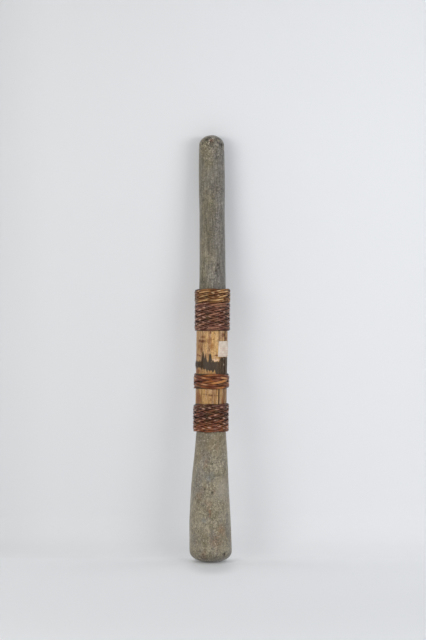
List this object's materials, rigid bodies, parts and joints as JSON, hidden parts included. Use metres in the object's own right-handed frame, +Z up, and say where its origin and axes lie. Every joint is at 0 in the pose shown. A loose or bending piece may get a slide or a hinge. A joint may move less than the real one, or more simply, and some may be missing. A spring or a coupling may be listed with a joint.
{
  "type": "stone pestle",
  "caption": "Long stone pestle with a flared pounding end and domed top, its middle jacketed in bamboo splints that plaited cane rings bind on as a grip.",
  "frame": {"origin": "on the ground under the widest part of the stone, with the pestle standing upright on its pounding end", "axes": "+Z up along the stone towards the domed top; -Y is the front, with the paper label to the right of it (+X)"},
  "size_m": [0.0592, 0.0588, 0.6],
  "materials": {
    "stone": "matte",
    "bamboo": "satin",
    "golden_cane": "satin",
    "dark_cane": "satin",
    "paper": "matte"
  },
  "bodies": {
    "root": {"stone": "stone", "bamboo_splint_1": "bamboo", "bamboo_splint_2": "bamboo", "bamboo_splint_3": "bamboo", "bamboo_splint_4": "bamboo", "bamboo_splint_5": "bamboo", "bamboo_splint_6": "bamboo", "cane_ring_top_narrow": "golden_cane", "cane_ring_upper_wide": "dark_cane", "cane_ring_middle_narrow": "golden_cane", "cane_ring_lower_wide": "dark_cane", "paper_label": "paper"}
  },
  "joints": []
}
